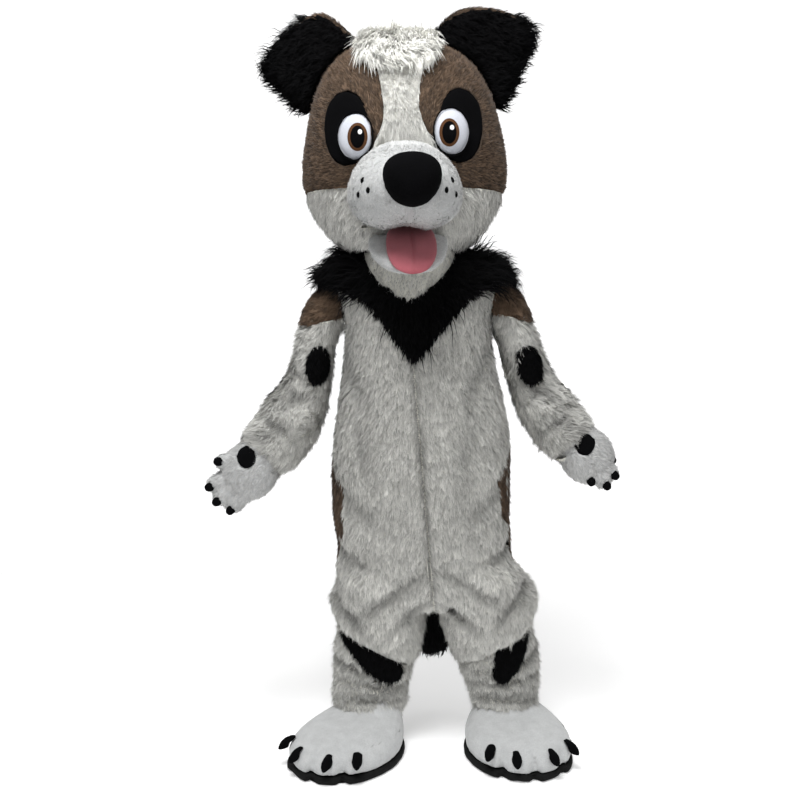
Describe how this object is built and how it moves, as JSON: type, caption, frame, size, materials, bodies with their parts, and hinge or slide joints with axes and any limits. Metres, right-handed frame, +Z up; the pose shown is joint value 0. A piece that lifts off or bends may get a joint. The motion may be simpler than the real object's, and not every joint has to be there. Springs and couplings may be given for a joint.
{
  "type": "dog mascot costume",
  "caption": "Plush dog costume worn over the whole body: hollow head, hand and foot paws, and a baggy suit with tail, open at neck, cuffs and ankles.",
  "frame": {"origin": "where the costume hangs on the wearer's shoulders, 1.262 m above the soles, midway between the shoulders and inside the neck opening", "axes": "+Z up as it is worn, +X to the picture's right, the face looks along -Y"},
  "size_m": [1.0608, 0.766, 1.897],
  "materials": {
    "white_plush": "white long-pile plush, combed downwards",
    "white_velboa": "white short-pile plush",
    "black_plush": "black long-pile plush",
    "taupe_plush": "grey-brown plush",
    "pink_felt": "pink brushed felt",
    "black_felt": "black brushed felt",
    "eye_white": "off-white felt over a firm backing",
    "sole_foam": "black foam rubber"
  },
  "bodies": {
    "root": {"blaze": "white_plush", "cap_left": "taupe_plush", "cap_right": "taupe_plush", "cheeks": "white_plush", "ear_left": "black_plush", "ear_right": "black_plush", "eye_left": "eye_white", "eye_patch_left": "black_felt", "eye_patch_right": "black_felt", "eye_right": "eye_white", "foot_claw_left_1": "black_felt", "foot_claw_left_2": "black_felt", "foot_claw_left_3": "black_felt", "foot_claw_left_4": "black_felt", "foot_claw_right_1": "black_felt", "foot_claw_right_2": "black_felt", "foot_claw_right_3": "black_felt", "foot_claw_right_4": "black_felt", "foot_left": "white_velboa", "foot_right": "white_velboa", "front_left": "white_plush", "front_right": "white_plush", "glove_left": "white_velboa", "glove_right": "white_velboa", "hand_claw_left_1": "black_felt", "hand_claw_left_2": "black_felt", "hand_claw_left_3": "black_felt", "hand_claw_left_4": "black_felt", "hand_claw_right_1": "black_felt", "hand_claw_right_2": "black_felt", "hand_claw_right_3": "black_felt", "hand_claw_right_4": "black_felt", "hand_spot_left": "black_felt", "hand_spot_right": "black_felt", "head_left": "taupe_plush", "head_right": "taupe_plush", "jaw": "white_velboa", "muzzle": "white_velboa", "neck_bib": "white_plush", "nose": "black_felt", "saddle_left": "taupe_plush", "saddle_right": "taupe_plush", "seat_left": "white_plush", "seat_right": "white_plush", "shin_left": "white_plush", "shin_right": "white_plush", "shin_spot_left": "black_plush", "shin_spot_right": "black_plush", "sleeve_left": "white_plush", "sleeve_right": "white_plush", "sleeve_spot_left_1": "black_plush", "sleeve_spot_left_2": "black_plush", "sleeve_spot_right_1": "black_plush", "sleeve_spot_right_2": "black_plush", "sole_left": "sole_foam", "sole_right": "sole_foam", "tail": "black_plush", "tongue": "pink_felt", "yoke_back": "black_plush", "yoke_front": "black_plush"}
  },
  "joints": []
}
